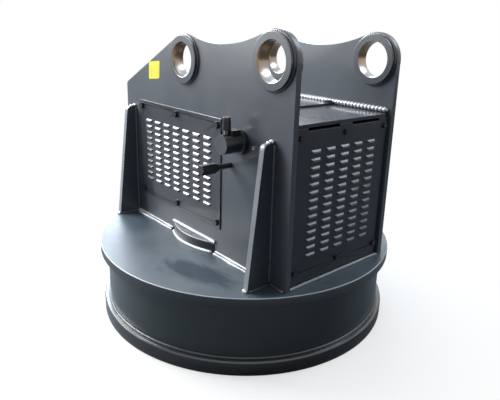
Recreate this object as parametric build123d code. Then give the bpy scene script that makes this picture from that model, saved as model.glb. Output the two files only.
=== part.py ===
from build123d import *
import os
from math import acos, atan2, cos, hypot, radians, sin, sqrt

# A round lifting magnet for an excavator, with its generator between two pinned cheeks.
# Millimetres. The origin is the middle of the magnet's underside, +Z is up,
# X runs along the cheeks and Y from the front cheek (-Y) to the back cheek (+Y).

# Clearances
weld_gap = 0.3
hole_play = 0.5
fit_play = 0.25

# Magnet body. Every rise below is measured from the drum's top.
plate_radius = 425
plate_thickness = 25
plate_overhang = 20
drum_height = 210
wall_thickness = 20
ring_proud = 15.5
ring_height = 40
core_radius = 160
wear_plate_thickness = 15
wear_plate_recess = 10
coil_margin = 10
hub_x = -10
hub_radius = 210
hub_height = 30
lead_hole_radius = 15
lead_hub_inset = 34

# Cheeks and pin bosses
cheek_span = 365
cheek_thickness = 15
rim_margin = 1.5
shoulder_rise = 415
shoulder_radius = 12
link_pin_x = 299.5
link_pin_rise = 520.5
pin_spacing = 347.5
stick_pin_drop = 16.5
lobe_radius = 68
saddle_rise = 37.5
bore_radius = 45
boss_radius = 62.5
boss_length = 35

# Gussets
gusset_thickness = 15
gusset_foot = 67
gusset_head = 29
gusset_height = 345
gusset_toe = 12
gusset_corner_radius = 14
gusset_pin_offset = 4.5

# Sheet covers
sheet_thickness = 3
side_cover_gap_left = 30
side_cover_gap_right = 37
side_cover_height = 294
side_cover_rise = 223.5
side_bolt_inset_x = 16
side_bolt_inset_z = 17
side_window_margin = 34
side_window_radius = 20
end_door_inset = 7.5
end_door_side_gap = 2
end_door_floor_gap = 2
end_door_roof_gap = 1
end_bolt_inset_y = 15
end_bolt_inset_top = 20.5
end_bolt_inset_bottom = 36
door_slot_length = 105
door_slot_depth = 7
door_slot_middle = 45
frame_bar_width = 28
frame_bar_thickness = 8
frame_sill_height = 62

# Pressed louvres
louvre_width = 33
louvre_height = 7.5
louvre_depth = 5
louvre_skin = 1.6
louvre_end_slope = 5
louvre_crown_place = 0.5
louvre_crown_rise = 0.8
side_louvre_columns = 7
side_louvre_rows = 11
side_louvre_gap_x = 7
side_louvre_gap_z = 19.5
end_louvre_columns = 5
end_louvre_rows = 14
end_louvre_gap_y = 23
end_louvre_gap_top = 24.5
end_louvre_gap_bottom = 8

# Cover plates above the machinery
roof_rise = 390
roof_thickness = 8
roof_corner_radius = 18
roof_end_inset = 7.5
hatch_inset_left = 112
hatch_inset_right = 178
hatch_side_gap = 5
hatch_thickness = 5
hatch_lap = 26
hatch_bolt_inset = 13

# Hexagon bolts
bolt_radius = 5
bolt_head_flats = 17
bolt_head_height = 6.4
bolt_reach = 12
end_bolt_radius = 4
end_bolt_flats = 13
end_bolt_head = 5.3

# Hydraulic ports on the front cheek
tee_pin_offset = 106.5
tee_rise = 326
tee_flange_radius = 31
tee_flange_length = 13
tee_body_radius = 23.5
tee_body_length = 47
tee_block_width = 30
tee_block_length = 24
tee_block_rise = 33
tee_leg_radius = 6.5
tee_leg_offset = 17
tee_leg_length = 34
tee_cap_foot_radius = 11
tee_cap_top_radius = 9.3
tee_cap_length = 30
drain_tee_spacing = 38
drain_tee_drop = 65
drain_stub_radius = 7.5
drain_collar_radius = 10.5
drain_collar_length = 6
drain_stub_length = 48
drain_nut_flats = 24
drain_nut_length = 42
plug_tee_spacing = 48.6
plug_tee_drop = 5
plug_radius = 3.5
plug_head_radius = 5
plug_height = 3

# Machinery between the cheeks
floor_hub_gap = 43
floor_thickness = 10
floor_end_gap = 19
generator_axis_rise = 120
generator_radius = 100
generator_box_gap = 27
generator_foot_inset = 20
generator_foot_width = 40
generator_foot_height = 12
generator_foot_spacing = 160
generator_web_thickness = 12
generator_web_spacing = 120
foot_bolt_inset = 20
bell_radius = 90
bell_length = 26
adapter_radius = 62
adapter_flange_radius = 85
adapter_length = 55
adapter_flange_length = 10
motor_width = 84
motor_length = 80
port_boss_radius = 15
port_boss_height = 8
pressure_pipe_radius = 10
drain_pipe_radius = 6
pressure_bend_radius = 30
drain_bend_radius = 18
drain_pipe_inset = 37.5
foot_bolt_radius = 6
foot_bolt_head = 18
foot_bolt_head_height = 7.5
box_end_gap = 15
box_lead_cover = 16
box_width = 240
box_height = 220
box_lid_thickness = 12
conduit_radius = 9
conduit_wall = 2
gland_flats = 28
gland_height = 20
gland_lap = 8

# Derived places
wall_outer_radius = plate_radius - plate_overhang
wall_inner_radius = wall_outer_radius - wall_thickness
ring_outer_radius = wall_outer_radius + ring_proud
case_top = drum_height - plate_thickness
hub_top = drum_height + hub_height
lead_hole_x = hub_x - hub_radius + lead_hub_inset

cheek_outer_y = cheek_span / 2
cheek_inner_y = cheek_outer_y - cheek_thickness
cheek_middle_y = cheek_outer_y - cheek_thickness / 2
foot_circle = plate_radius - rim_margin
cheek_left_x = -sqrt(foot_circle**2 - cheek_outer_y**2)
cheek_right_x = link_pin_x + lobe_radius
stick_pin_x = link_pin_x - pin_spacing
link_pin_height = drum_height + link_pin_rise
stick_pin_height = link_pin_height - stick_pin_drop
shoulder_height = drum_height + shoulder_rise
gusset_top = drum_height + gusset_height

gusset_left_x = gusset_thickness / 2 - sqrt(foot_circle**2 - (cheek_outer_y + gusset_foot) ** 2)
gusset_right_x = link_pin_x + gusset_pin_offset
tee_x = link_pin_x - tee_pin_offset
drain_x = tee_x - drain_tee_spacing
plug_x = tee_x + plug_tee_spacing
tee_z = drum_height + tee_rise
drain_z = tee_z - drain_tee_drop
plug_z = tee_z - plug_tee_drop

side_cover_left = gusset_left_x + gusset_thickness / 2 + side_cover_gap_left
side_cover_right = drain_x - side_cover_gap_right
side_cover_width = side_cover_right - side_cover_left
side_cover_x = (side_cover_left + side_cover_right) / 2
side_cover_z = drum_height + side_cover_rise
side_window_width = side_cover_width - 2 * side_window_margin
side_window_height = side_cover_height - 2 * side_window_margin

roof_height = drum_height + roof_rise
roof_underside = roof_height - roof_thickness
door_top = roof_underside - end_door_roof_gap
door_bottom = drum_height + end_door_floor_gap
door_height = door_top - door_bottom
door_width = 2 * (cheek_inner_y - end_door_side_gap)
door_right_x = cheek_right_x - end_door_inset
door_left_x = cheek_left_x + end_door_inset
frame_depth = sheet_thickness + frame_bar_thickness
frame_height = roof_underside - drum_height
frame_window_width = 2 * (cheek_inner_y - frame_bar_width)
frame_window_height = frame_height - frame_sill_height - frame_bar_width

floor_height = hub_top + floor_hub_gap
machinery_floor = floor_height + floor_thickness
floor_left_x = door_left_x + frame_depth + floor_end_gap
floor_right_x = door_right_x - frame_depth - floor_end_gap
box_left_x = floor_left_x + box_end_gap
box_right_x = lead_hole_x + box_lead_cover
generator_axis_z = machinery_floor + generator_axis_rise
generator_left_x = box_right_x + generator_box_gap
motor_left_x = tee_x - motor_length / 2
adapter_left_x = motor_left_x - adapter_length
generator_right_x = adapter_left_x - bell_length

front_plane = Plane((0, -cheek_outer_y, 0), x_dir=(1, 0, 0), z_dir=(0, -1, 0))
os.makedirs("parts", exist_ok=True)


def save(name, part):
    solids = list(part.solids())
    shape = solids[0] if len(solids) == 1 else Compound(children=solids)
    export_step(shape, "parts/" + name + ".step")


def mirrored(part):
    return mirror(part, about=Plane.XZ)


def ring(outer, inner, low, high):
    height = high - low
    body = Cylinder(outer, height) - Cylinder(inner, height)
    return Pos(0, 0, (low + high) / 2) * body


def disc(radius, low, high):
    return Pos(0, 0, (low + high) / 2) * Cylinder(radius, high - low)


def block(low, high):
    size = [b - a for a, b in zip(low, high)]
    middle = [(a + b) / 2 for a, b in zip(low, high)]
    return Pos(*middle) * Box(*size)


def rod(plane, radius, length, start=0):
    """A round bar that stands out of a plane along its normal."""
    shaft = Cylinder(radius, length, align=(Align.CENTER, Align.CENTER, Align.MIN))
    return plane * Pos(0, 0, start) * shaft


def hexagon(plane, flats, length, start=0):
    profile = RegularPolygon(flats / 2, 6, major_radius=False)
    return plane * Pos(0, 0, start) * extrude(profile, amount=length)


def drilled_at(part, spots, radius, reach):
    return part - [rod(spot, radius, 3 * reach, -2 * reach) for spot in spots]


def bolt(plane, radius=bolt_radius, flats=bolt_head_flats, head=bolt_head_height, reach=bolt_reach):
    """A hexagon bolt whose head sits on the plane and whose shank goes behind it."""
    return hexagon(plane, flats, head) + rod(plane, radius, reach, -reach)


# Magnet body
lead_hole = Pos(lead_hole_x, 0, drum_height) * Cylinder(lead_hole_radius, 4 * plate_thickness)
wear_plate_top = wear_plate_recess + wear_plate_thickness

save("outer_pole_ring", ring(ring_outer_radius, wall_inner_radius, 0, ring_height))
save("drum_wall", ring(wall_outer_radius, wall_inner_radius, ring_height, case_top))
save("top_plate", disc(plate_radius, case_top, drum_height) - lead_hole)
save("centre_core", disc(core_radius, 0, case_top))
save(
    "coil_wear_plate",
    ring(wall_inner_radius - weld_gap, core_radius + weld_gap, wear_plate_recess, wear_plate_top),
)
coil_outer_radius = wall_inner_radius - coil_margin
coil_inner_radius = core_radius + coil_margin
save("coil_winding", ring(coil_outer_radius, coil_inner_radius, wear_plate_top, case_top - coil_margin))
save("centre_hub", Pos(hub_x) * disc(hub_radius, drum_height, hub_top) - lead_hole)


# Cheeks
def tangent_point(point, centre, radius):
    """Where the line from a point touches a circle on its upper left side."""
    reach = hypot(centre[0] - point[0], centre[1] - point[1])
    bearing = atan2(centre[1] - point[1], centre[0] - point[0])
    swing = acos(radius / reach)
    angle = bearing + radians(180) - swing
    return centre[0] + radius * cos(angle), centre[1] + radius * sin(angle)


def on_circle(centre, radius, angle):
    return centre[0] + radius * cos(angle), centre[1] + radius * sin(angle)


def cheek_outline():
    stick = (stick_pin_x, stick_pin_height)
    link = (link_pin_x, link_pin_height)
    half_span = hypot(pin_spacing, stick_pin_drop) / 2
    tilt = atan2(stick_pin_drop, pin_spacing)
    saddle_radius = (half_span**2 + saddle_rise**2 - lobe_radius**2) / (2 * (lobe_radius - saddle_rise))
    lean = atan2(saddle_radius + saddle_rise, half_span)
    middle = on_circle(stick, half_span, tilt)
    saddle = on_circle(middle, saddle_rise, tilt + radians(90))
    shoulder = (cheek_left_x, shoulder_height)
    touch = tangent_point(shoulder, stick, lobe_radius)
    touch_angle = atan2(touch[1] - stick[1], touch[0] - stick[0])
    stick_crest = on_circle(stick, lobe_radius, (touch_angle + tilt + lean) / 2)
    stick_end = on_circle(stick, lobe_radius, tilt + lean)
    link_angle = tilt + radians(180) - lean
    link_start = on_circle(link, lobe_radius, link_angle)
    link_crest = on_circle(link, lobe_radius, link_angle / 2)
    link_end = (cheek_right_x, link_pin_height)
    foot_left = (cheek_left_x, drum_height)
    foot_right = (cheek_right_x, drum_height)
    edges = [
        Line(foot_left, shoulder),
        Line(shoulder, touch),
        ThreePointArc(touch, stick_crest, stick_end),
        ThreePointArc(stick_end, saddle, link_start),
        ThreePointArc(link_start, link_crest, link_end),
        Line(link_end, foot_right),
        Line(foot_right, foot_left),
    ]
    face = make_face(edges)
    corner = face.vertices().sort_by_distance((shoulder[0], shoulder[1], 0))[0]
    return fillet(corner, shoulder_radius)


side_bolt_dx = side_cover_width / 2 - side_bolt_inset_x
side_bolt_dz = side_cover_height / 2 - side_bolt_inset_z
side_bolt_xs = [side_cover_x - side_bolt_dx, side_cover_x, side_cover_x + side_bolt_dx]
side_bolt_zs = [side_cover_z - side_bolt_dz, side_cover_z + side_bolt_dz]


def cheek(with_ports):
    face = cheek_outline()
    window = RectangleRounded(side_window_width, side_window_height, side_window_radius)
    face -= Pos(side_cover_x, side_cover_z) * window
    face -= Pos(stick_pin_x, stick_pin_height) * Circle(boss_radius + fit_play)
    face -= Pos(link_pin_x, link_pin_height) * Circle(boss_radius + fit_play)
    for x in side_bolt_xs:
        for z in side_bolt_zs:
            face -= Pos(x, z) * Circle(bolt_radius + fit_play)
    if with_ports:
        face -= Pos(tee_x, tee_z) * Circle(pressure_pipe_radius + hole_play)
        face -= Pos(drain_x, drain_z) * Circle(drain_pipe_radius + hole_play)
        face -= Pos(plug_x, plug_z) * Circle(plug_radius + fit_play)
    plate = front_plane * extrude(face, amount=-cheek_thickness)
    return plate - Pos(hub_x) * disc(hub_radius + weld_gap, drum_height - hub_height, hub_top + weld_gap)


save("front_cheek", cheek(True))
save("back_cheek", mirrored(cheek(False)))


# Pin bosses
def boss(x, z):
    plane = Plane((x, -cheek_middle_y, z), x_dir=(1, 0, 0), z_dir=(0, -1, 0))
    return rod(plane, boss_radius, boss_length, -boss_length / 2) - rod(
        plane, bore_radius, 2 * boss_length, -boss_length
    )


for pin_name, pin_x, pin_z in (
    ("stick_pin", stick_pin_x, stick_pin_height),
    ("link_pin", link_pin_x, link_pin_height),
):
    front_boss = boss(pin_x, pin_z)
    save("front_" + pin_name + "_boss", front_boss)
    save("back_" + pin_name + "_boss", mirrored(front_boss))


# Gussets
def gusset(x):
    top = gusset_top
    profile = Polyline(
        (0, drum_height),
        (gusset_foot, drum_height),
        (gusset_foot, drum_height + gusset_toe),
        (gusset_head, top),
        (0, top),
        close=True,
    )
    face = make_face(profile)
    corner = face.vertices().sort_by_distance((gusset_head, top, 0))[0]
    face = fillet(corner, gusset_corner_radius)
    plane = Plane((x, -cheek_outer_y, 0), x_dir=(0, -1, 0), z_dir=(-1, 0, 0))
    return plane * extrude(face, amount=gusset_thickness / 2, both=True)


for side_name, gusset_x in (("left", gusset_left_x), ("right", gusset_right_x)):
    front_gusset = gusset(gusset_x)
    save("front_" + side_name + "_gusset", front_gusset)
    save("back_" + side_name + "_gusset", mirrored(front_gusset))


# Louvred sheets, drawn flat with their outer face up and then stood on a plane
def hood_solid(width, height, low, rise):
    """A crowned wedge with its upright mouth at the lower edge and sloped ends."""
    crown = (louvre_crown_place * height, louvre_crown_rise * rise)
    side = Polyline((0, 0), (height, 0), crown, (0, rise), close=True)
    front = Polyline(
        (-width / 2, 0),
        (width / 2, 0),
        (width / 2 - louvre_end_slope, rise),
        (louvre_end_slope - width / 2, rise),
        close=True,
    )
    side_plane = Plane((0, 0, low), x_dir=(0, 1, 0), z_dir=(1, 0, 0))
    front_view = Plane((0, 0, low), x_dir=(1, 0, 0), z_dir=(0, -1, 0))
    across = side_plane * extrude(make_face(side), amount=width, both=True)
    along = front_view * extrude(make_face(front), amount=height, both=True)
    return across & along


def louvre_tools():
    """The pressed hood and the hollow behind it."""
    hood = hood_solid(louvre_width, louvre_height, sheet_thickness, louvre_depth)
    hollow_width = louvre_width - 2 * louvre_skin
    hollow_height = louvre_height - louvre_skin
    hollow_rise = sheet_thickness + louvre_depth - louvre_skin
    hollow = hood_solid(hollow_width, hollow_height, 0, hollow_rise)
    return hood, hollow


def louvred(sheet, columns, rows, field_width, field_height, field_middle=0):
    """A sheet with its louvres spread over a field that is centred across the sheet."""
    pitch_x = (field_width - louvre_width) / (columns - 1)
    pitch_y = (field_height - louvre_height) / (rows - 1)
    foot = field_middle - field_height / 2
    hood, hollow = louvre_tools()
    spots = [
        Pos((column - (columns - 1) / 2) * pitch_x, foot + row * pitch_y)
        for column in range(columns)
        for row in range(rows)
    ]
    sheet = sheet + [spot * hood for spot in spots]
    return sheet - [spot * hollow for spot in spots]


def sheet_blank(width, height):
    return extrude(Rectangle(width, height), amount=sheet_thickness)


def drilled(sheet, xs, ys, radius):
    drill = Pos(0, 0, sheet_thickness / 2) * Cylinder(radius + hole_play, 3 * sheet_thickness)
    return sheet - [Pos(x, y) * drill for x in xs for y in ys]


def side_cover():
    sheet = drilled(
        sheet_blank(side_cover_width, side_cover_height),
        (-side_bolt_dx, 0, side_bolt_dx),
        (-side_bolt_dz, side_bolt_dz),
        bolt_radius,
    )
    field_width = side_window_width - 2 * side_louvre_gap_x
    field_height = side_window_height - 2 * side_louvre_gap_z
    return louvred(sheet, side_louvre_columns, side_louvre_rows, field_width, field_height)


side_plane = Plane(
    (side_cover_x, -cheek_outer_y, side_cover_z), x_dir=(1, 0, 0), z_dir=(0, -1, 0)
)
front_side_cover = side_plane * side_cover()
save("front_side_cover", front_side_cover)
save("back_side_cover", mirrored(front_side_cover))

side_bolts = Compound(
    children=[
        bolt(side_plane * Plane((x - side_cover_x, z - side_cover_z, sheet_thickness)))
        for x in side_bolt_xs
        for z in side_bolt_zs
    ]
)
save("front_side_cover_bolts", side_bolts)
save("back_side_cover_bolts", mirrored(side_bolts))


# End doors, each on a welded frame
end_bolt_dy = door_width / 2 - end_bolt_inset_y
end_bolt_ys = (-end_bolt_dy, 0, end_bolt_dy)
end_bolt_high = door_height / 2 - end_bolt_inset_top
end_bolt_low = -door_height / 2 + end_bolt_inset_bottom
end_bolt_zs = (end_bolt_low, end_bolt_high)
door_middle_z = (door_bottom + door_top) / 2


def top_slots(sheet, top):
    """Two slots side by side, open at the top edge."""
    slot = Box(door_slot_length, 2 * door_slot_depth, 4 * frame_depth)
    offset = (door_slot_middle + door_slot_length) / 2
    return sheet - [Pos(side * offset, top) * slot for side in (-1, 1)]


def plain_door():
    sheet = sheet_blank(door_width, door_height)
    sheet = drilled(sheet, end_bolt_ys, end_bolt_zs, end_bolt_radius)
    return top_slots(sheet, door_height / 2)


def louvred_door():
    field_width = frame_window_width - 2 * end_louvre_gap_y
    field_bottom = drum_height + frame_sill_height + end_louvre_gap_bottom
    field_top = roof_underside - frame_bar_width - end_louvre_gap_top
    field_height = field_top - field_bottom
    field_middle = (field_top + field_bottom) / 2 - door_middle_z
    return louvred(
        plain_door(), end_louvre_columns, end_louvre_rows, field_width, field_height, field_middle
    )


def door_frame():
    """A flat frame behind a door, its outer face at the plane of the door's back."""
    outer = Pos(0, frame_height / 2) * Rectangle(2 * cheek_inner_y, frame_height)
    window_middle = frame_sill_height + frame_window_height / 2
    inner = Pos(0, window_middle) * Rectangle(frame_window_width, frame_window_height)
    frame = extrude(outer - inner, amount=-frame_bar_thickness)
    frame = top_slots(frame, frame_height - end_door_roof_gap)
    drill = Cylinder(end_bolt_radius + fit_play, 3 * frame_bar_thickness)
    middle = door_middle_z - drum_height
    return frame - [Pos(y, middle + z) * drill for y in end_bolt_ys for z in end_bolt_zs]


door_frame_bars = door_frame()
for side_name, face_x, facing, door_sheet in (
    ("right", door_right_x, 1, louvred_door()),
    ("left", door_left_x, -1, plain_door()),
):
    back_x = face_x - facing * sheet_thickness
    door_plane = Plane((back_x, 0, door_middle_z), x_dir=(0, facing, 0), z_dir=(facing, 0, 0))
    frame_plane = Plane((back_x, 0, drum_height), x_dir=(0, facing, 0), z_dir=(facing, 0, 0))
    save(side_name + "_end_door", door_plane * door_sheet)
    save(side_name + "_door_frame", frame_plane * door_frame_bars)
    save(
        side_name + "_end_door_bolts",
        Compound(
            children=[
                bolt(
                    door_plane * Plane((y, z, sheet_thickness)),
                    end_bolt_radius,
                    end_bolt_flats,
                    end_bolt_head,
                )
                for y in end_bolt_ys
                for z in end_bolt_zs
            ]
        ),
    )


# Cover plates over the machinery
roof_left_x = cheek_left_x + roof_end_inset
roof_right_x = cheek_right_x - roof_end_inset
roof_middle_x = (roof_left_x + roof_right_x) / 2
hatch_left_x = roof_left_x + hatch_inset_left
hatch_right_x = roof_right_x - hatch_inset_right
hatch_middle_x = (hatch_left_x + hatch_right_x) / 2
hatch_length = hatch_right_x - hatch_left_x
hatch_width = 2 * (cheek_inner_y - hatch_side_gap)
hatch_bolt_dx = hatch_length / 2 - hatch_bolt_inset
hatch_bolt_dy = hatch_width / 2 - hatch_bolt_inset
hatch_bolt_spots = [
    Plane((hatch_middle_x + dx, dy, roof_height + hatch_thickness))
    for dx in (-hatch_bolt_dx, hatch_bolt_dx)
    for dy in (-hatch_bolt_dy, hatch_bolt_dy)
]


def roof_plate():
    outline = Pos(roof_middle_x, 0) * RectangleRounded(
        roof_right_x - roof_left_x, 2 * cheek_inner_y, roof_corner_radius
    )
    hatchway = Pos(hatch_middle_x, 0) * Rectangle(
        hatch_length - 2 * hatch_lap, hatch_width - 2 * hatch_lap
    )
    plate = Pos(0, 0, roof_underside) * extrude(outline - hatchway, amount=roof_thickness)
    return drilled_at(plate, hatch_bolt_spots, bolt_radius + fit_play, bolt_reach)


def hatch_plate():
    outline = Pos(hatch_middle_x, 0) * Rectangle(hatch_length, hatch_width)
    plate = Pos(0, 0, roof_height) * extrude(outline, amount=hatch_thickness)
    return drilled_at(plate, hatch_bolt_spots, bolt_radius + hole_play, bolt_reach)


save("roof_plate", roof_plate())
save("hatch_cover", hatch_plate())
save("hatch_cover_bolts", Compound(children=[bolt(spot) for spot in hatch_bolt_spots]))


# Hydraulic ports
tee_plane = front_plane * Plane((tee_x, tee_z, 0))
drain_plane = front_plane * Plane((drain_x, drain_z, 0))
plug_plane = front_plane * Plane((plug_x, plug_z, 0))
tee_length = tee_flange_length + tee_body_length
tee_leg_y = -cheek_outer_y - tee_length + tee_leg_offset
tee_leg_plane = Plane((tee_x, tee_leg_y, tee_z))


def tee_port():
    body = rod(tee_plane, tee_flange_radius, tee_flange_length)
    body += rod(tee_plane, tee_body_radius, tee_body_length, tee_flange_length)
    body += block(
        (tee_x - tee_block_width / 2, -cheek_outer_y - tee_flange_length - tee_block_length, tee_z),
        (tee_x + tee_block_width / 2, -cheek_outer_y - tee_flange_length, tee_z + tee_block_rise),
    )
    return body + rod(tee_leg_plane, tee_leg_radius, tee_leg_length)


tee_cap = Cone(
    tee_cap_foot_radius, tee_cap_top_radius, tee_cap_length, align=(Align.CENTER, Align.CENTER, Align.MIN)
)
drain_cap = hexagon(drain_plane, drain_nut_flats, drain_nut_length, drain_stub_length)
save("pressure_port", tee_port())
save("pressure_port_cap", tee_leg_plane * Pos(0, 0, tee_leg_length) * tee_cap)
save(
    "drain_port",
    rod(drain_plane, drain_stub_radius, drain_stub_length)
    + rod(drain_plane, drain_collar_radius, drain_collar_length, drain_stub_length - drain_collar_length),
)
save("drain_port_cap", drain_cap)
save(
    "blanking_plug",
    rod(plug_plane, plug_head_radius, plug_height)
    + rod(plug_plane, plug_radius, cheek_thickness, -cheek_thickness),
)


# Machinery on its floor plate
generator_middle_x = (generator_left_x + generator_right_x) / 2
foot_half_length = (generator_right_x - generator_left_x) / 2 - generator_foot_inset
foot_bolt_dx = foot_half_length - foot_bolt_inset
foot_bolt_dy = generator_foot_spacing / 2
foot_top = machinery_floor + generator_foot_height
foot_bolt_reach = generator_foot_height + floor_thickness
foot_bolt_spots = [
    Plane((generator_middle_x + dx, dy, foot_top))
    for dx in (-foot_bolt_dx, foot_bolt_dx)
    for dy in (-foot_bolt_dy, foot_bolt_dy)
]


def floor_plate():
    low = (floor_left_x, -cheek_inner_y, floor_height)
    high = (floor_right_x, cheek_inner_y, machinery_floor)
    plate = block(low, high)
    plate -= Pos(lead_hole_x, 0, floor_height) * Cylinder(conduit_radius + hole_play, 3 * floor_thickness)
    return drilled_at(plate, foot_bolt_spots, foot_bolt_radius + fit_play, foot_bolt_reach)


def along_x(radius, left, right):
    plane = Plane((left, 0, generator_axis_z), x_dir=(0, 1, 0), z_dir=(1, 0, 0))
    return rod(plane, radius, right - left)


def generator_housing():
    body = along_x(generator_radius, generator_left_x, generator_right_x)
    left = generator_middle_x - foot_half_length
    right = generator_middle_x + foot_half_length
    for side in (-1, 1):
        foot_y = side * generator_foot_spacing / 2
        web_y = side * generator_web_spacing / 2
        body += block(
            (left, foot_y - generator_foot_width / 2, machinery_floor),
            (right, foot_y + generator_foot_width / 2, foot_top),
        )
        body += block(
            (left, web_y - generator_web_thickness / 2, machinery_floor),
            (right, web_y + generator_web_thickness / 2, generator_axis_z),
        )
    return drilled_at(body, foot_bolt_spots, foot_bolt_radius + hole_play, foot_bolt_reach)


def motor():
    half = motor_width / 2
    body = block(
        (motor_left_x, -half, generator_axis_z - half),
        (motor_left_x + motor_length, half, generator_axis_z + half),
    )
    top_port = Plane((tee_x, 0, generator_axis_z + half))
    side_port = Plane((tee_x, -half, generator_axis_z), x_dir=(1, 0, 0), z_dir=(0, -1, 0))
    body += rod(top_port, port_boss_radius, port_boss_height)
    body += rod(side_port, port_boss_radius, port_boss_height)
    return body


def pipe(points, bend_radius, radius):
    path = FilletPolyline(*points, radius=bend_radius)
    section = Plane(origin=path @ 0, z_dir=path % 0) * Circle(radius)
    return sweep(section, path=path)


save("machinery_floor", floor_plate())
save("generator_housing", generator_housing())
save(
    "generator_foot_bolts",
    Compound(
        children=[
            bolt(spot, foot_bolt_radius, foot_bolt_head, foot_bolt_head_height, foot_bolt_reach)
            for spot in foot_bolt_spots
        ]
    ),
)
save("generator_end_bell", along_x(bell_radius, generator_right_x, adapter_left_x))
save(
    "motor_adapter",
    along_x(adapter_flange_radius, adapter_left_x, adapter_left_x + adapter_flange_length)
    + along_x(adapter_radius, adapter_left_x, motor_left_x),
)
save("hydraulic_motor", motor())

port_top_z = generator_axis_z + motor_width / 2 + port_boss_height
port_side_y = -motor_width / 2 - port_boss_height
drain_pipe_y = drain_pipe_inset - cheek_inner_y
save(
    "pressure_pipe",
    pipe(
        [
            (tee_x, -cheek_outer_y, tee_z),
            (tee_x, 0, tee_z),
            (tee_x, 0, port_top_z),
        ],
        pressure_bend_radius,
        pressure_pipe_radius,
    ),
)
save(
    "drain_pipe",
    pipe(
        [
            (drain_x, -cheek_outer_y, drain_z),
            (drain_x, drain_pipe_y, drain_z),
            (tee_x, drain_pipe_y, generator_axis_z),
            (tee_x, port_side_y, generator_axis_z),
        ],
        drain_bend_radius,
        drain_pipe_radius,
    ),
)

# Control box and the coil's lead
box_foot = Plane(((box_left_x + box_right_x) / 2, 0, machinery_floor))
box_body_height = box_height - box_lid_thickness
lead_plane = Plane((lead_hole_x, 0, hub_top))
conduit_foot = gland_height - gland_lap
box_section = Rectangle(box_right_x - box_left_x, box_width)
save("control_box", box_foot * extrude(box_section, amount=box_body_height))
save(
    "control_box_lid",
    box_foot * Pos(0, 0, box_body_height) * extrude(box_section, amount=box_lid_thickness),
)
save(
    "coil_lead_gland",
    hexagon(lead_plane, gland_flats, gland_height)
    - rod(lead_plane, conduit_radius + fit_play, gland_lap, conduit_foot)
    - rod(lead_plane, conduit_radius - conduit_wall, gland_height),
)
conduit_length = machinery_floor - hub_top - conduit_foot
save(
    "coil_lead_conduit",
    rod(lead_plane, conduit_radius, conduit_length, conduit_foot)
    - rod(lead_plane, conduit_radius - conduit_wall, conduit_length, conduit_foot),
)
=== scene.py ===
import bpy
import bmesh
import math
import random
from mathutils import Matrix, Vector


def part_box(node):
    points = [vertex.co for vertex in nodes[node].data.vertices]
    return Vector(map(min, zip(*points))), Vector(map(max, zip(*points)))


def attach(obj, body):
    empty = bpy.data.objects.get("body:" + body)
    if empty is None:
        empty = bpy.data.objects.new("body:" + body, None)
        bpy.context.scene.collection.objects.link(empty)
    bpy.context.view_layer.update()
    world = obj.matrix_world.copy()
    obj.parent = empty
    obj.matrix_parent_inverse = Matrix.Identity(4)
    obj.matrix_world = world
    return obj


# Looks of the round lifting magnet, in metres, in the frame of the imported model.
# Front is -Y and back +Y, left is -X and right +X.

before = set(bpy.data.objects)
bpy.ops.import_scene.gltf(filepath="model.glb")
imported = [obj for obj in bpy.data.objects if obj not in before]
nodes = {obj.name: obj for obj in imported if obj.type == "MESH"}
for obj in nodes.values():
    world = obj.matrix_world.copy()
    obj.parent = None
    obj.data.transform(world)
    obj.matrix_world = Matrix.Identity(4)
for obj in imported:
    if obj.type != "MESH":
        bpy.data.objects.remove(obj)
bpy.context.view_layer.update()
dice = random.Random(11)


def low(node, axis):
    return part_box(node)[0][axis]


def high(node, axis):
    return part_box(node)[1][axis]


def middle(node, axis):
    return (low(node, axis) + high(node, axis)) / 2


def half(node, axis):
    return (high(node, axis) - low(node, axis)) / 2


# Places that the welds, the scuff and the sticker take from the solids
WALL_R = high("drum_wall", 0)
RING_TOP = high("outer_pole_ring", 2)
PLATE_TOP = high("top_plate", 2)
HUB_X = middle("centre_hub", 0)
HUB_R = half("centre_hub", 0)
HUB_TOP = high("centre_hub", 2)
CHEEK_OUT = -low("front_cheek", 1)
CHEEK_IN = -high("front_cheek", 1)
CHEEK_LEFT = low("front_cheek", 0)
CHEEK_RIGHT = high("front_cheek", 0)
ROOF_TOP = high("roof_plate", 2)
ROOF_LEFT = low("roof_plate", 0)
ROOF_RIGHT = high("roof_plate", 0)
STICK_PIN = (middle("front_stick_pin_boss", 0), middle("front_stick_pin_boss", 2))
LINK_PIN = (middle("front_link_pin_boss", 0), middle("front_link_pin_boss", 2))
BOSS_R = half("front_link_pin_boss", 0)
BORE_R = 0.045
GUSSETS = (middle("front_left_gusset", 0), middle("front_right_gusset", 0))
GUSSET_HALF = half("front_right_gusset", 0)
GUSSET_FOOT = -low("front_right_gusset", 1) - CHEEK_OUT
GUSSET_TOP = high("front_right_gusset", 2)
SCUFF_MIDDLE = (GUSSETS[1] - 0.143, -(CHEEK_OUT + 0.101))
SCUFF_TURN = math.radians(16)
SCUFF_REACH = (0.115, 0.050)
HUB_CHORD_HALF = math.sqrt(HUB_R**2 - CHEEK_OUT**2)
HUB_CHORD_LEFT = HUB_X - HUB_CHORD_HALF
HUB_CHORD_RIGHT = HUB_X + HUB_CHORD_HALF

# Scales of the noise in the paints, in waves per metre
CLOUDS = 5.0
SPECKS = 900.0
PEEL = 420.0
SLOW_WAVES = 7.0
GLOSS_PATCHES = 9.0
DUST_PATCHES = 14.0

DUST = (0.42, 0.43, 0.44)
DUST_ROUGHNESS = 0.8
SPECK_SHARE = 0.10
SPECULAR = 0.5  # the shader's own level, where nothing has rubbed the paint


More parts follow.
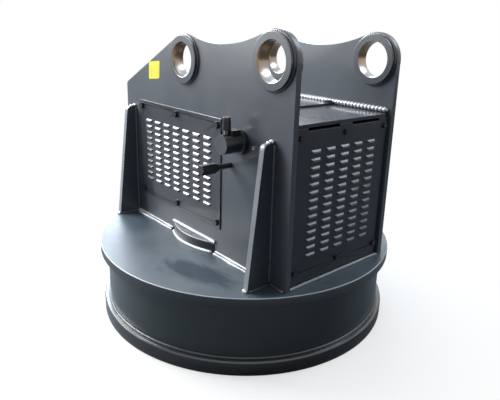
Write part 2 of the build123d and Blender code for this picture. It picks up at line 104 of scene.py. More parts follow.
# Node helpers
class Nodes:
    """Builds one node material, with its patterns placed in the object's own space."""

    def __init__(self, name):
        self.material = bpy.data.materials.new(name)
        self.material.use_nodes = True
        self.tree = self.material.node_tree
        self.shader = self.tree.nodes["Principled BSDF"]
        self.output = self.tree.nodes["Material Output"]
        self.space = self.add("TexCoord").outputs["Object"]

    def add(self, kind):
        return self.tree.nodes.new("ShaderNode" + kind)

    def link(self, output, socket):
        self.tree.links.new(output, socket)

    def feed(self, value, socket):
        """Link an output to a socket, or set the socket to a number or a colour."""
        if hasattr(value, "is_output"):
            self.link(value, socket)
        elif isinstance(value, (int, float)):
            socket.default_value = value
        else:
            socket.default_value = (*value, 1)

    def put(self, key, output):
        """Link an output to the shader."""
        self.link(output, self.shader.inputs[key])

    def set(self, **values):
        """Set the shader's own numbers."""
        for key, value in values.items():
            self.shader.inputs[key.replace("_", " ")].default_value = value

    def math(self, kind, a, b=None):
        node = self.add("Math")
        node.operation = kind
        for value, socket in zip((a, b), node.inputs):
            if value is not None:
                self.feed(value, socket)
        return node.outputs[0]

    def mix(self, factor, a, b):
        """Colour a where the factor is 0, colour b where it is 1."""
        node = self.add("Mix")
        node.data_type = "RGBA"
        for value, place in ((factor, 0), (a, 6), (b, 7)):
            self.feed(value, node.inputs[place])
        return node.outputs[2]

    def ramp(self, value, start, end, out_start=0.0, out_end=1.0):
        node = self.add("MapRange")
        self.link(value, node.inputs["Value"])
        node.inputs["From Min"].default_value = start
        node.inputs["From Max"].default_value = end
        node.inputs["To Min"].default_value = out_start
        node.inputs["To Max"].default_value = out_end
        return node.outputs[0]

    def noise(self, scale, detail=3.0, rough=0.55, stretch=(1, 1, 1), warp=0.0):
        place = self.add("Mapping")
        place.inputs["Scale"].default_value = stretch
        self.link(self.space, place.inputs["Vector"])
        node = self.add("TexNoise")
        node.inputs["Scale"].default_value = scale
        node.inputs["Detail"].default_value = detail
        node.inputs["Roughness"].default_value = rough
        node.inputs["Distortion"].default_value = warp
        self.link(place.outputs[0], node.inputs["Vector"])
        return node.outputs["Fac"]

    def cloud(self, scale, detail=4.0, rough=0.6, start=0.0, end=1.0, stretch=(1, 1, 1)):
        """Noise over its usual span, from the start value to the end value."""
        return self.ramp(self.noise(scale, detail, rough, stretch), 0.3, 0.7, start, end)

    def bump(self, height, depth, under=None):
        node = self.add("Bump")
        node.inputs["Strength"].default_value = 1.0
        node.inputs["Distance"].default_value = depth
        self.link(height, node.inputs["Height"])
        if under is not None:
            self.link(under, node.inputs["Normal"])
        return node.outputs[0]

    def part(self, vector, axis):
        split = self.add("SeparateXYZ")
        self.link(vector, split.inputs[0])
        return split.outputs[axis]

    def along(self, axis):
        """Where the point lies on an axis."""
        return self.part(self.space, axis)

    def facing(self, axis):
        """How much the surface looks along an axis, from -1 to 1."""
        return self.part(self.add("NewGeometry").outputs["Normal"], axis)

    def length(self, vector):
        node = self.add("VectorMath")
        node.operation = "LENGTH"
        self.link(vector, node.inputs[0])
        return node.outputs["Value"]


# Kinds of finish
def scuff(n):
    """1 inside a ragged oval in front of the right gusset, 0 outside it."""
    place = n.add("Mapping")
    place.vector_type = "TEXTURE"
    place.inputs["Location"].default_value = (*SCUFF_MIDDLE, 0)
    place.inputs["Rotation"].default_value = (0, 0, SCUFF_TURN)
    place.inputs["Scale"].default_value = (*SCUFF_REACH, 1000)
    n.link(n.space, place.inputs["Vector"])
    ragged = n.math("MULTIPLY", n.noise(9.0, 4.0, 0.6, (1, 2.0, 1), 0.8), 1.3)
    return n.ramp(n.math("ADD", n.length(place.outputs[0]), ragged), 1.35, 1.75, 1.0, 0.0)


def painted(
    name,
    deep,
    pale,
    rough,
    coat=0.3,
    coat_rough=0.12,
    peel=0.00006,
    wave=0.0006,
    dust=0.08,
    patchy=1.0,
    smudge=0.0,
    edge=None,
    rim=None,
    metallic=0.0,
):
    """Sprayed paint: cloudy tone, orange peel, slow waves, and thin dust on what looks up.

    The edge colour is painted shade on upright faces, and the rim colour is a painted highlight on the
    softened edge between.
    """
    n = Nodes(name)
    upward = n.facing(2)
    level = n.ramp(upward, 0.5, 1.0)
    patch = n.ramp(n.noise(DUST_PATCHES, 6.0, 0.65), 0.35, 0.75)
    settled = n.math("MULTIPLY", n.math("MULTIPLY", level, patch), dust)

    speck = n.math("MULTIPLY", n.ramp(n.noise(SPECKS, 2.0), 0.45, 0.75), SPECK_SHARE)
    tone = n.mix(n.cloud(CLOUDS), deep, pale)
    tone = n.mix(speck, tone, [min(1, c * 1.9 + 0.02) for c in pale])
    tone = n.mix(settled, tone, DUST)
    # Painted shade: upright faces take the darker edge colour in place of the paint's own tone
    if edge:
        tone = n.mix(level, edge, tone)
    # Painted highlight: a pale band on the softened edge between the top and the upright side
    if rim:
        painted_highlight_band = n.math("MULTIPLY", n.ramp(upward, 0.45, 0.62), n.ramp(upward, 0.92, 0.985, 1.0, 0.0))
        tone = n.mix(painted_highlight_band, tone, rim)
    n.put("Base Color", tone)

    gloss = n.cloud(GLOSS_PATCHES, 5.0, 0.6, rough - 0.05 * patchy, rough + 0.07 * patchy)
    n.put("Roughness", n.math("ADD", gloss, n.math("MULTIPLY", settled, DUST_ROUGHNESS)))
    slow = n.bump(n.noise(SLOW_WAVES, 1.0), wave)
    n.put("Normal", n.bump(n.noise(PEEL, 2.0), peel, slow))
    n.set(Coat_Weight=coat, Coat_Roughness=coat_rough, Metallic=metallic)
    if smudge:
        rubbed = scuff(n)
        n.put("Coat Weight", n.ramp(rubbed, 0.0, 1.0, coat, coat * (1 - smudge)))
        n.put("Specular IOR Level", n.ramp(rubbed, 0.0, 1.0, SPECULAR, SPECULAR * (1 - smudge)))
    return n.material


def worn_edge_and_highlight(name, deep, pale, bare, coat_rough=0.12):
    """Painted steel whose faces to the front and back are pale: partly worn bare edges, partly painted
    highlight.
    """
    n = Nodes(name)
    # Painted highlight, partly wear: faces to the front and back blend in patches to the pale colour
    worn_and_highlight_face = n.ramp(n.math("ABSOLUTE", n.facing(1)), 0.75, 0.95)
    patch = n.ramp(n.noise(22.0, 4.0, 0.6, (1, 1, 0.4)), 0.25, 0.75, 0.55, 1.0)
    tone = n.mix(n.cloud(CLOUDS), deep, pale)
    n.put("Base Color", n.mix(n.math("MULTIPLY", worn_and_highlight_face, patch), tone, bare))
    n.put("Roughness", n.cloud(GLOSS_PATCHES, 5.0, 0.6, 0.28, 0.40))
    n.put("Normal", n.bump(n.noise(PEEL, 2.0), 0.00006))
    n.set(Coat_Weight=0.3, Coat_Roughness=coat_rough)
    return n.material


def boss_finish(name, pin):
    """Paint on the faces, a glossy near-black painted shade round the side, and a bare turned bore, brown
    towards its top.
    """
    n = Nodes(name)
    dx = n.math("SUBTRACT", n.along(0), pin[0])
    dz = n.math("SUBTRACT", n.along(2), pin[1])
    far = n.math("SQRT", n.math("ADD", n.math("POWER", dx, 2.0), n.math("POWER", dz, 2.0)))
    ragged = n.math("MULTIPLY", n.noise(60.0, 4.0), 0.0016)
    paint = n.ramp(n.math("SUBTRACT", far, ragged), BORE_R - 0.0001, BORE_R + 0.0003)

    patch = n.math("MULTIPLY", n.noise(11.0, 4.0, 0.6, (1, 2.2, 1)), 0.05)
    warm = n.ramp(n.math("ADD", dz, patch), -0.012, 0.040)
    bare = n.mix(warm, (0.34, 0.34, 0.33), (0.30, 0.175, 0.085))
    bare = n.mix(n.ramp(n.noise(30.0, 5.0, 0.7), 0.55, 0.8), bare, (0.20, 0.14, 0.10))

    flat = n.ramp(n.math("ABSOLUTE", n.facing(1)), 0.3, 0.9)
    coat = n.mix(n.cloud(8.0, 4.0, 0.55), (0.058, 0.066, 0.076), (0.076, 0.085, 0.097))
    # Painted shade: the side round the boss is near black, the end faces keep the paint's tone
    coat = n.mix(flat, (0.012, 0.014, 0.017), coat)
    n.put("Base Color", n.mix(paint, bare, coat))
    n.put("Metallic", n.ramp(paint, 0.0, 1.0, 1.0, 0.0))
    n.put("Roughness", n.ramp(paint, 0.0, 1.0, 0.30, 0.34))
    n.put("Coat Weight", n.ramp(flat, 0.0, 1.0, 0.8, 0.1))
    n.set(Coat_Roughness=0.12)

    turned = n.math("MULTIPLY", n.noise(60.0, 2.0, 0.5, (0.4, 60.0, 0.4)), 0.8)
    peel = n.math("MULTIPLY", n.noise(PEEL, 2.0), 0.5)
    n.put("Normal", n.bump(n.math("ADD", turned, peel), 0.00005))
    return n.material


def metal(name, deep, pale, rough, streak=(1, 1, 1), patina=None):
    """Bare metal with streaked grain, and patches of patina where it has any."""
    n = Nodes(name)
    tone = n.mix(n.cloud(40.0, 5.0, 0.6, stretch=streak), deep, pale)
    if patina:
        tone = n.mix(n.ramp(n.noise(18.0, 6.0, 0.7), 0.52, 0.75), tone, patina)
    n.put("Base Color", tone)
    n.put("Roughness", n.cloud(80.0, 4.0, 0.6, rough - 0.06, rough + 0.1, streak))
    n.put("Normal", n.bump(n.noise(240.0, 3.0, 0.6, streak), 0.00005))
    n.set(Metallic=1.0)
    return n.material


def plastic(name, deep, pale, rough, coat):
    """Moulded plastic or varnish with a fine grain."""
    n = Nodes(name)
    n.put("Base Color", n.mix(n.cloud(12.0, 4.0, 0.55), deep, pale))
    n.put("Roughness", n.cloud(30.0, 4.0, 0.55, rough - 0.05, rough + 0.06))
    n.put("Normal", n.bump(n.noise(500.0, 2.0), 0.00004))
    n.set(Coat_Weight=coat)
    return n.material


# Paints of the large forms
charcoal = painted("charcoal_paint_look", (0.064, 0.074, 0.086), (0.088, 0.099, 0.114), 0.34, 0.2)
plate_paint = painted(
    "plate_paint_look",
    (0.010, 0.022, 0.033),
    (0.040, 0.062, 0.084),
    rough=0.46,
    coat=0.6,
    coat_rough=0.40,
    wave=0.0002,
    dust=0.02,
    patchy=2.0,
    smudge=0.75,
    # edge: painted shade on the plate's upright side
    edge=(0.018, 0.025, 0.028),
    # rim: painted highlight along the plate's softened top edge
    rim=(0.62, 0.67, 0.72),
)
drum_paint = painted(
    "drum_paint_look", (0.028, 0.043, 0.046), (0.039, 0.057, 0.060), 0.34, 0.3, 0.15, dust=0.04
)
hub_paint = painted(
    "hub_paint_look",
    (0.050, 0.058, 0.067),
    (0.070, 0.079, 0.091),
    rough=0.34,
    coat=0.3,
    # edge: painted shade on the hub's upright wall
    edge=(0.022, 0.026, 0.031),
    # rim: painted highlight along the hub's softened top edge
    rim=(0.55, 0.58, 0.62),
)
ring_paint = painted(
    "ring_paint_look", (0.011, 0.015, 0.017), (0.016, 0.021, 0.024), 0.30, 0.9, 0.10, wave=0.0002, dust=0.02
)
cover_paint = painted(
    "black_paint_look", (0.020, 0.023, 0.028), (0.030, 0.034, 0.040), 0.36, 0.62, 0.10, dust=0.06
)
door_paint = painted(
    "door_paint_look", (0.008, 0.013, 0.020), (0.012, 0.019, 0.029), 0.36, 0.3, 0.15, dust=0.10
)
roof_paint = painted(
    "roof_paint_look", (0.022, 0.028, 0.039), (0.038, 0.045, 0.060), 0.26, 0.6, 0.10, dust=0.04
)
frame_paint = painted("frame_paint_look", (0.012, 0.012, 0.014), (0.020, 0.021, 0.023), 0.5, 0.0)
# The gussets' faces to the front and back are pale: partly worn cut edge, partly painted highlight
gusset_paint = worn_edge_and_highlight(
    "gusset_paint_look", (0.054, 0.070, 0.086), (0.076, 0.094, 0.112), (0.29, 0.30, 0.32)
)

# Paint over the welds; the pale silver one is a painted highlight on welds that catch the light
weld_highlight_paint = painted(
    "weld_highlight_look",
    (0.36, 0.37, 0.39),
    (0.58, 0.59, 0.61),
    rough=0.30,
    coat=0.6,
    peel=0.0002,
    dust=0.10,
    metallic=0.45,
)
dark_weld_paint = painted(
    "dark_weld_look", (0.045, 0.048, 0.054), (0.085, 0.090, 0.098), 0.28, 0.5, 0.10, peel=0.0002, dust=0.10
)
# Painted highlight: the sill welds are paler than the paint round them
sill_weld_highlight_paint = painted(
    "sill_weld_highlight_look", (0.16, 0.18, 0.21), (0.30, 0.33, 0.37), 0.28, 0.6, 0.10, peel=0.0002, dust=0.05
)
# Painted shade: the welds round the bosses are near black
weld_shade_paint = painted(
    "weld_shade_look", (0.010, 0.012, 0.015), (0.022, 0.025, 0.029), 0.26, 0.8, 0.08, peel=0.0002, dust=0.02
)

# Fittings and fasteners
fastener = painted(
    "dark_fastener_look",
    (0.005, 0.006, 0.008),
    (0.010, 0.012, 0.014),
    rough=0.34,
    coat=0.2,
    coat_rough=0.15,
    peel=0.00003,
    dust=0.02,
)
# The port's faces to the front and back are pale as a painted highlight
port_grey = worn_edge_and_highlight(
    "grey_steel_look", (0.006, 0.007, 0.009), (0.012, 0.013, 0.016), (0.085, 0.090, 0.096), coat_rough=0.28
)
port_black = painted(
    "port_black_look", (0.006, 0.007, 0.009), (0.012, 0.013, 0.015), 0.26, 0.7, 0.12, peel=0.00003, dust=0.03
)
black_plastic = plastic("black_plastic_look", (0.007, 0.008, 0.010), (0.014, 0.016, 0.019), 0.26, 0.8)
stick_boss = boss_finish("stick_boss_look", STICK_PIN)
link_boss = boss_finish("link_boss_look", LINK_PIN)

# The underside and the machine room
pole_steel = metal(
    "pole_steel_look", (0.16, 0.155, 0.15), (0.27, 0.265, 0.26), 0.42, patina=(0.16, 0.10, 0.065)
)
wear_steel = metal(
    "wear_steel_look", (0.42, 0.42, 0.42), (0.56, 0.56, 0.55), 0.34, (1, 6, 1), (0.33, 0.30, 0.27)
)
varnish = plastic("coil_varnish_look", (0.20, 0.06, 0.03), (0.30, 0.10, 0.05), 0.25, 0.5)
machine_grey = painted("machine_grey_look", (0.30, 0.33, 0.37), (0.37, 0.40, 0.44), 0.38)
box_grey = painted("box_grey_look", (0.50, 0.51, 0.52), (0.58, 0.59, 0.60), 0.45, 0.1)
zinc = metal("zinc_pipe_look", (0.60, 0.60, 0.57), (0.74, 0.74, 0.71), 0.28)

LOOKS = {
    "right_door_frame": frame_paint,
    "left_door_frame": frame_paint,
    "outer_pole_ring": ring_paint,
    "drum_wall": drum_paint,
    "top_plate": plate_paint,
    "centre_core": pole_steel,
    "coil_wear_plate": wear_steel,
    "coil_winding": varnish,
    "centre_hub": hub_paint,
    "front_stick_pin_boss": stick_boss,
    "back_stick_pin_boss": stick_boss,
    "front_link_pin_boss": link_boss,
    "back_link_pin_boss": link_boss,
    "front_side_cover": cover_paint,
    "back_side_cover": cover_paint,
    "right_end_door": door_paint,
    "left_end_door": door_paint,
    "roof_plate": roof_paint,
    "hatch_cover": roof_paint,
    "pressure_port": port_grey,
    "pressure_port_cap": black_plastic,
    "drain_port": port_black,
    "drain_port_cap": fastener,
    "blanking_plug": zinc,
    "generator_housing": machine_grey,
    "generator_end_bell": machine_grey,
    "generator_foot_bolts": zinc,
    "motor_adapter": pole_steel,
    "hydraulic_motor": pole_steel,
    "pressure_pipe": zinc,
    "drain_pipe": zinc,
    "control_box": box_grey,
    "control_box_lid": box_grey,
    "coil_lead_gland": black_plastic,
    "coil_lead_conduit": black_plastic,
}


def look_of(name):
    if name in LOOKS:
        return LOOKS[name]
    if "bolts" in name:
        return fastener
    return gusset_paint if "gusset" in name else charcoal


def dress(name, material):
    materials = nodes[name].data.materials
    if not materials:
        materials.append(material)
    for place in range(len(materials)):
        materials[place] = material


for node_name in nodes:
    dress(node_name, look_of(node_name))

# Softened edges, so that they catch light: end of the node's name, width, segments, least angle
SOFT_EDGES = (
    ("_cheek", 0.0020, 2, 35),
    ("_gusset", 0.0016, 2, 35),
    ("_pin_boss", 0.0012, 2, 35),
    ("top_plate", 0.0030, 3, 35),
    ("outer_pole_ring", 0.0055, 3, 35),
    ("centre_hub", 0.0028, 3, 35),
    ("roof_plate", 0.0012, 2, 35),
    ("hatch_cover", 0.0010, 2, 35),
    ("_side_cover", 0.0010, 2, 30),
    ("_end_door", 0.0010, 2, 30),
    ("pressure_port", 0.0010, 2, 35),
    ("pressure_port_cap", 0.0012, 2, 35),
    ("drain_port", 0.0007, 2, 35),
    ("drain_port_cap", 0.0009, 2, 35),
)


def ease(obj, width, segments, angle):
    join = obj.modifiers.new("join", "WELD")
    join.merge_threshold = 0.00001
    soft = obj.modifiers.new("edge", "BEVEL")
    soft.width = width
    soft.segments = segments
    soft.limit_method = "ANGLE"
    soft.angle_limit = math.radians(angle)
    soft.harden_normals = False


for ending, width, segments, angle in SOFT_EDGES:
    for node_name in nodes:
        if node_name.endswith(ending):
            ease(nodes[node_name], width, segments, angle)

# Welds: the bead's radius, the pitch of its ripples and how strong ripple and wander are
RING_BEAD = dict(radius=0.0040, pitch=0.0070, material=drum_paint, ripple=0.07, wander=0.03)
FOOT_BEAD = dict(radius=0.0044, pitch=0.0064, material=weld_highlight_paint, ripple=0.38, wander=0.26)
FOOT_END_BEAD = dict(radius=0.0050, pitch=0.0060, material=dark_weld_paint, ripple=0.16, wander=0.06)
HUB_TOP_BEAD = dict(radius=0.0066, pitch=0.0060, material=weld_highlight_paint, ripple=0.24, wander=0.12)
HUB_BASE_BEAD = dict(radius=0.0052, pitch=0.0055, material=weld_highlight_paint, ripple=0.22, wander=0.10)
GUSSET_BEAD = dict(radius=0.0042, pitch=0.0055, material=dark_weld_paint, ripple=0.16, wander=0.06)
GUSSET_TOP_BEAD = dict(radius=0.0072, pitch=0.0055, material=weld_highlight_paint, ripple=0.25, wander=0.10)
GUSSET_CAP_BEAD = dict(radius=0.0062, pitch=0.0050, material=weld_highlight_paint, ripple=0.25, wander=0.10)
GUSSET_TOE_BEAD = dict(radius=0.0062, pitch=0.0055, material=weld_highlight_paint, ripple=0.25, wander=0.06)
BOSS_BEAD = dict(radius=0.0036, pitch=0.0055, material=weld_shade_paint, ripple=0.16, wander=0.06)
ROOF_BEAD = dict(radius=0.0078, pitch=0.0115, material=weld_highlight_paint, ripple=0.50, wander=0.26)
SILL_BEAD = dict(radius=0.0046, pitch=0.0060, material=sill_weld_highlight_paint, ripple=0.22, wander=0.12)

BEAD_SIDES = 9
RINGS_PER_RIPPLE = 4
RINGS_PER_DRIFT = 24
END_SHARE = 0.55  # thickness at the very end of a run
END_RADII = 1.2  # radii in which a run reaches its full thickness
SEAM_FADE = 8  # a closed bead stops wandering in this part of its length by the seam
LEAN = 0.35

# How far a bead's middle sits off the face that it lies on
OFF_FACE = 0.0022
OFF_PLATE = 0.0020
OFF_HUB = 0.0018
OFF_GUSSET = 0.0016
OFF_ROOF_SIDE = 0.0015
OFF_BOSS = 0.0012
OFF_RING = 0.0008

# The two passes of a foot weld: name, out from the cheek, up from the plate
FOOT_PASSES = (("upper", 0.0018, 0.0062), ("lower", 0.0072, 0.0016))
# Room that the foot welds leave at a gusset's middle, the hub and the cheek's ends
PAST_GUSSET = 0.012
BEFORE_GUSSET = 0.010
AT_HUB = 0.002
AT_CHEEK_END = 0.004

HUB_TOP_SHIFT = 0.003
HUB_BASE_GAP = 0.004
HUB_BASE_STEPS = 40
RING_STEPS = 180
BOSS_STEPS = 120

# Where the flank welds of a gusset begin and end: above the plate and below the top,
# out from the cheek and in from the toe
RISE_START = 0.006
RISE_STOP = 0.004
FLANK_START = 0.004
FLANK_STOP = 0.002
# The short welds across a gusset: name, half length, out from the cheek, height, kind
GUSSET_ENDS = (
    ("top", 0.007, 0.002, GUSSET_TOP + 0.002, GUSSET_TOP_BEAD),
    ("cap", 0.006, 0.012, GUSSET_TOP, GUSSET_CAP_BEAD),
    ("toe", 0.007, GUSSET_FOOT + 0.002, PLATE_TOP + 0.002, GUSSET_TOE_BEAD),
)

# The ends of a roof weld: in from the roof's end and up from its top
ROOF_WELD_LEFT = (0.004, 0.009)
ROOF_WELD_RIGHT = (0.003, 0.007)
SILL_INSET = 0.0035


def walk(points, lengths, count, loop):
    """Evenly spaced steps along a path: how far, where, and which way the path runs."""
    here = 0
    for i in range(count if loop else count + 1):
        s = lengths[-1] * i / count
        while here < len(points) - 2 and lengths[here + 1] < s:
            here += 1
        span = lengths[here + 1] - lengths[here]
        spot = points[here].lerp(points[here + 1], (s - lengths[here]) / span)
        yield s, spot, (points[here + 1] - points[here]).normalized()


def bead(name, path, radius, pitch, material, ripple, wander, loop=False, normal=(0, 0, 1)):
    """A laid weld: a round back of overlapping ripples along a path."""
    points = [Vector(p) for p in path]
    if loop:
        points.append(points[0])
    lengths = [0.0]
    for a, b in zip(points, points[1:]):
        lengths.append(lengths[-1] + (b - a).length)
    total = lengths[-1]
    count = max(8, int(total / (pitch / RINGS_PER_RIPPLE)))
    slow = [dice.uniform(-1, 1) for _ in range(count // RINGS_PER_DRIFT + 3)]
    mesh = bmesh.new()
    rings = []
    for i, (s, spot, ahead) in enumerate(walk(points, lengths, count, loop)):
        across = ahead.cross(Vector(normal)).normalized()
        upward = across.cross(ahead)
        beat = (s / pitch) % 1.0
        k = i / RINGS_PER_DRIFT
        drift = slow[int(k)] * (1 - k % 1) + slow[int(k) + 1] * (k % 1)
        if loop:
            drift *= min(1.0, SEAM_FADE * min(i, count - i) / count)
        size = radius * (1 - ripple * (2 * beat - 1) ** 2 + wander * drift)
        if not loop:
            end = min(s, total - s)
            full = math.sqrt(min(1.0, end / (radius * END_RADII)))
            size *= min(1.0, END_SHARE + (1 - END_SHARE) * full)
        spot = spot + across * (radius * wander * drift)
        ring = []
        for j in range(BEAD_SIDES):
            a = 2 * math.pi * j / BEAD_SIDES
            lean = LEAN * radius * ripple * math.cos(a)
            back = across * (size * math.cos(a)) + upward * (size * math.sin(a))
            ring.append(mesh.verts.new(spot + back + ahead * lean))
        rings.append(ring)
    skin(mesh, rings, loop)
    obj = made(name, mesh, material)
    for face in obj.data.polygons:
        face.use_smooth = True
    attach(obj, "root")


def skin(mesh, rings, loop):
    """Faces between neighbouring rings, and a cap at each end of an open run."""
    pairs = list(zip(rings, rings[1:]))
    if loop:
        pairs.append((rings[-1], rings[0]))
    for a, b in pairs:
        for j in range(BEAD_SIDES):
            k = (j + 1) % BEAD_SIDES
            mesh.faces.new((a[j], a[k], b[k], b[j]))
    if not loop:
        mesh.faces.new(rings[0])
        mesh.faces.new(rings[-1])
    bmesh.ops.recalc_face_normals(mesh, faces=mesh.faces)


def made(name, mesh, material):
    """An object of a mesh that was just drawn."""
    data = bpy.data.meshes.new(name)
    mesh.to_mesh(data)
    mesh.free()
    data.materials.append(material)
    obj = bpy.data.objects.new(name, data)
    bpy.context.scene.collection.objects.link(obj)
    return obj


def turn_points(radius, count):
    angles = [2 * math.pi * i / count for i in range(count)]
    return [(radius * math.cos(a), radius * math.sin(a)) for a in angles]


def ring_weld():
    path = [(x, y, RING_TOP + OFF_RING) for x, y in turn_points(WALL_R + OFF_RING, RING_STEPS)]
    bead("ring_weld", path, loop=True, **RING_BEAD)


def foot_welds(side, sign):
    """The cheek's foot on the plate: two passes between gusset and hub, and one at each end."""
    left, right = GUSSETS
    spans = (
        ("left", left + PAST_GUSSET, HUB_CHORD_LEFT - AT_HUB),
        ("right", HUB_CHORD_RIGHT + AT_HUB, right - BEFORE_GUSSET),
    )
    for layer, out, lift in FOOT_PASSES:
        y = sign * (CHEEK_OUT + out)
        z = PLATE_TOP + lift
        for place, start, end in spans:
            bead(f"{side}_foot_weld_{place}_{layer}", [(start, y, z), (end, y, z)], **FOOT_BEAD)
    y = sign * (CHEEK_OUT + OFF_FACE)
    z = PLATE_TOP + OFF_PLATE
    for place, start, end in (
        ("end", right + PAST_GUSSET, CHEEK_RIGHT - AT_CHEEK_END),
        ("start", CHEEK_LEFT + AT_CHEEK_END, left - BEFORE_GUSSET),
    ):
        bead(f"{side}_foot_weld_{place}", [(start, y, z), (end, y, z)], **FOOT_END_BEAD)


def hub_welds(side, sign):
    """The chord where the cheek stands on the hub, and the hub's foot outside the cheek."""
    y = sign * (CHEEK_OUT + OFF_FACE)
    z = HUB_TOP + OFF_FACE
    path = [(HUB_CHORD_LEFT + HUB_TOP_SHIFT, y, z), (HUB_CHORD_RIGHT + HUB_TOP_SHIFT, y, z)]
    bead(side + "_hub_top_weld", path, **HUB_TOP_BEAD)

    reach = math.degrees(math.asin((CHEEK_OUT + HUB_BASE_GAP) / HUB_R))
    start, end = (180 + reach, 360 - reach) if sign < 0 else (reach, 180 - reach)
    radius = HUB_R + OFF_HUB
    turns = [start + (end - start) * i / HUB_BASE_STEPS for i in range(HUB_BASE_STEPS + 1)]
    angles = [math.radians(turn) for turn in turns]
    z = PLATE_TOP + OFF_PLATE
    path = [(HUB_X + radius * math.cos(a), radius * math.sin(a), z) for a in angles]
    bead(side + "_hub_base_weld", path, **HUB_BASE_BEAD)


def gusset_welds(side, sign):
    """Both flanks of each gusset, up the cheek and along the plate, and its top, cap and toe."""
    y = sign * (CHEEK_OUT + OFF_GUSSET)
    y_near = sign * (CHEEK_OUT + FLANK_START)
    y_far = sign * (CHEEK_OUT + GUSSET_FOOT - FLANK_STOP)
    z = PLATE_TOP + OFF_GUSSET
    for place, x, outer in zip(("left", "right"), GUSSETS, (-1, 1)):
        name = f"{side}_{place}_gusset_"
        for flank, turn in (("outer", outer), ("inner", -outer)):
            gx = x + turn * (GUSSET_HALF + OFF_GUSSET)
            rise = [(gx, y, PLATE_TOP + RISE_START), (gx, y, GUSSET_TOP - RISE_STOP)]
            bead(name + flank + "_weld", rise, normal=(0, 1, 0), **GUSSET_BEAD)
            bead(name + flank + "_foot_weld", [(gx, y_near, z), (gx, y_far, z)], **GUSSET_BEAD)
        for end, reach, out, height, kind in GUSSET_ENDS:
            y_end = sign * (CHEEK_OUT + out)
            bead(name + end + "_weld", [(x - reach, y_end, height), (x + reach, y_end, height)], **kind)


def boss_welds(side, sign):
    """A weld round each boss, on both faces of the cheek."""
    for pin_name, pin in (("stick", STICK_PIN), ("link", LINK_PIN)):
        for where, face, turn in (("outer", CHEEK_OUT, sign), ("inner", CHEEK_IN, -sign)):
            y = sign * face + turn * OFF_BOSS
            rim = turn_points(BOSS_R + OFF_BOSS, BOSS_STEPS)
            path = [(pin[0] + dx, y, pin[1] + dz) for dx, dz in rim]
            name = f"{side}_{pin_name}_boss_{where}_weld"
            bead(name, path, loop=True, normal=(0, 1, 0), **BOSS_BEAD)


def roof_weld(side, sign):
    y = sign * (CHEEK_IN - OFF_ROOF_SIDE)
    left = (ROOF_LEFT + ROOF_WELD_LEFT[0], y, ROOF_TOP + ROOF_WELD_LEFT[1])
    right = (ROOF_RIGHT - ROOF_WELD_RIGHT[0], y, ROOF_TOP + ROOF_WELD_RIGHT[1])
    bead(side + "_roof_weld", [left, right], **ROOF_BEAD)


def sill_weld(place, x):
    z = PLATE_TOP + OFF_PLATE
    bead(place + "_sill_weld", [(x, -CHEEK_IN, z), (x, CHEEK_IN, z)], **SILL_BEAD)


# The order of these calls is the order of the random draws
ring_weld()
for side, sign in (("front", -1), ("back", 1)):
    foot_welds(side, sign)
    hub_welds(side, sign)
    gusset_welds(side, sign)
    boss_welds(side, sign)
    roof_weld(side, sign)
sill_weld("left", CHEEK_LEFT + SILL_INSET)
sill_weld("right", CHEEK_RIGHT - SILL_INSET)

# Blank sticker on the front cheek, with its corners from the stick pin's middle
STICKER_CORNERS = ((-0.1925, -0.0680), (-0.1320, -0.0610), (-0.1300, -0.0110), (-0.1905, -0.0175))
STICKER_ROUND = 0.006
STICKER_STEPS = 6
STICKER_THICK = 0.0003


def sticker_look():
    n = Nodes("sticker_look")
    patch = n.ramp(n.noise(40.0, 4.0), 0.35, 0.7)
    n.put("Base Color", n.mix(patch, (0.84, 0.78, 0.06), (0.74, 0.68, 0.05)))
    n.put("Roughness", n.cloud(60.0, 3.0, 0.55, 0.30, 0.42))
    n.put("Normal", n.bump(n.noise(160.0, 2.0), 0.00005))
    n.set(Coat_Weight=0.4)
    return n.material


def sticker():
    corners = [Vector((STICK_PIN[0] + x, STICK_PIN[1] + z)) for x, z in STICKER_CORNERS]
    mesh = bmesh.new()
    rim = []
    for k, corner in enumerate(corners):
        before = (corners[k - 1] - corner).normalized() * STICKER_ROUND
        after = (corners[(k + 1) % 4] - corner).normalized() * STICKER_ROUND
        for step in range(STICKER_STEPS + 1):
            t = step / STICKER_STEPS
            x, z = corner + before * (1 - t) ** 2 + after * t**2
            rim.append(mesh.verts.new((x, -(CHEEK_OUT + STICKER_THICK), z)))
    mesh.faces.new(rim)
    obj = made("blank_sticker", mesh, sticker_look())
    thick = obj.modifiers.new("thick", "SOLIDIFY")
    thick.thickness = STICKER_THICK
    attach(obj, "root")


sticker()


# Floor, light and camera
FLOOR_SIZE = 9.0
FLOOR_DROP = 0.0005
# The floor's glow rises from the third value at the first distance to the fourth at the second
FLOOR_FADE = (0.42, 0.88, 0.66, 1.0)


def either(tree, a, b):
    """1 where either of two outputs is 1."""
    node = tree.nodes.new("ShaderNodeMath")
    node.operation = "MAXIMUM"
    tree.links.new(a, node.inputs[0])
    tree.links.new(b, node.inputs[1])
    return node.outputs[0]


def floor_look():
    """Pale matt floor that fades to white with distance, and is dimmer to light that bounces."""
    n = Nodes("studio_floor_look")
    path = n.add("LightPath").outputs
    pale = n.mix(n.cloud(3.0, 3.0, 0.55), (0.90, 0.90, 0.90), (0.93, 0.93, 0.93))
    dim = either(n.tree, path["Is Diffuse Ray"], path["Is Glossy Ray"])
    n.put("Base Color", n.mix(dim, pale, (0.14, 0.15, 0.17)))
    n.set(Roughness=0.85)
    fade = n.ramp(n.length(n.space), *FLOOR_FADE)
    seen = either(n.tree, path["Is Camera Ray"], path["Is Transmission Ray"])
    glow = n.add("Emission")
    blend = n.add("MixShader")
    n.link(n.math("MULTIPLY", seen, fade), blend.inputs[0])
    n.link(n.shader.outputs[0], blend.inputs[1])
    n.link(glow.outputs[0], blend.inputs[2])
    n.link(blend.outputs[0], n.output.inputs["Surface"])
    return n.material


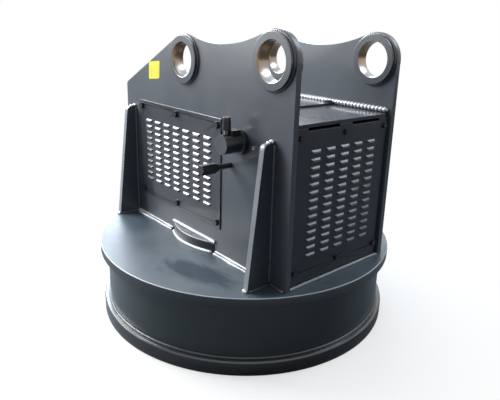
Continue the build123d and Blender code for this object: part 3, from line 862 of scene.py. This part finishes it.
def floor():
    mesh = bmesh.new()
    bmesh.ops.create_grid(mesh, x_segments=1, y_segments=1, size=FLOOR_SIZE)
    obj = made("studio_floor", mesh, floor_look())
    obj.location.z = -FLOOR_DROP


floor()


def lamp(name, place, aim, size, watts, colour):
    """A soft box that the camera can't see."""
    light = bpy.data.lights.new(name, "AREA")
    light.shape = "RECTANGLE"
    light.size, light.size_y = size
    light.energy = watts
    light.color = colour
    obj = bpy.data.objects.new(name, light)
    bpy.context.scene.collection.objects.link(obj)
    obj.location = place
    obj.rotation_euler = (Vector(aim) - Vector(place)).to_track_quat("-Z", "Y").to_euler()
    obj.visible_camera = False


# Name, place, aim, size, watts and colour
LAMPS = (
    ("key_softbox", (-2.05, -1.24, 2.02), (-0.02, -0.10, 0.42), (1.6, 1.5), 152, (0.96, 0.98, 1.0)),
    ("low_softbox", (-1.84, -2.62, 1.00), (0.1, -0.10, 0.60), (1.5, 1.1), 14, (0.97, 0.98, 1.0)),
    ("hood_softbox", (-2.25, -2.19, 0.90), (-0.10, -0.19, 0.45), (0.8, 0.5), 6, (0.98, 0.99, 1.0)),
    ("overhead_softbox", (-0.1, 0.0, 3.2), (0, 0, 0.4), (2.0, 2.0), 45, (0.84, 0.93, 1.0)),
    ("far_softbox", (-3.15, 1.35, 1.50), (0, 0, 0.3), (4.6, 2.2), 212, (0.76, 0.88, 1.0)),
    ("right_softbox", (1.00, 1.90, 2.63), (0.36, 0, 0.4), (1.4, 1.4), 36, (0.80, 0.91, 1.0)),
)
for row in LAMPS:
    lamp(*row)


def studio_world():
    """Faint blue fill for the paint, and plain white to the camera, to glass and to gloss."""
    world = bpy.data.worlds.new("studio_world")
    world.use_nodes = True
    tree = world.node_tree
    fill = tree.nodes["Background"]
    fill.inputs["Color"].default_value = (0.80, 0.90, 1.0, 1)
    fill.inputs["Strength"].default_value = 0.07
    white = tree.nodes.new("ShaderNodeBackground")
    white.inputs["Color"].default_value = (1, 1, 1, 1)
    white.inputs["Strength"].default_value = 1.0
    path = tree.nodes.new("ShaderNodeLightPath").outputs
    seen = either(tree, path["Is Camera Ray"], path["Is Transmission Ray"])
    both = tree.nodes.new("ShaderNodeMixShader")
    tree.links.new(either(tree, seen, path["Is Glossy Ray"]), both.inputs[0])
    tree.links.new(fill.outputs[0], both.inputs[1])
    tree.links.new(white.outputs[0], both.inputs[2])
    tree.links.new(both.outputs[0], tree.nodes["World Output"].inputs["Surface"])
    bpy.context.scene.world = world


studio_world()
bpy.context.scene.view_settings.view_transform = "Standard"

# The camera, as fitted to the photo
CAMERA_RIGHT = Vector((0.6492086378, 0.7600665739, 0.0287566999))
CAMERA_UP = Vector((-0.2239129690, 0.1548492015, 0.9622290305))
CAMERA_AHEAD = Vector((-0.7269051705, 0.6311263962, -0.2707182023))
CAMERA_PLACE = Vector((1.09221, -0.91891, 0.79162))


def view_camera():
    lens = bpy.data.cameras.new("view")
    lens.sensor_width = 36.0
    lens.lens = 35.8817
    lens.shift_x = -0.007767
    lens.shift_y = -0.057717
    lens.clip_start = 0.05
    camera = bpy.data.objects.new("view", lens)
    bpy.context.scene.collection.objects.link(camera)
    turned = Matrix((CAMERA_RIGHT, CAMERA_UP, -CAMERA_AHEAD)).transposed().to_4x4()
    camera.matrix_world = Matrix.Translation(CAMERA_PLACE) @ turned
    bpy.context.scene.camera = camera


view_camera()

bpy.context.view_layer.update()
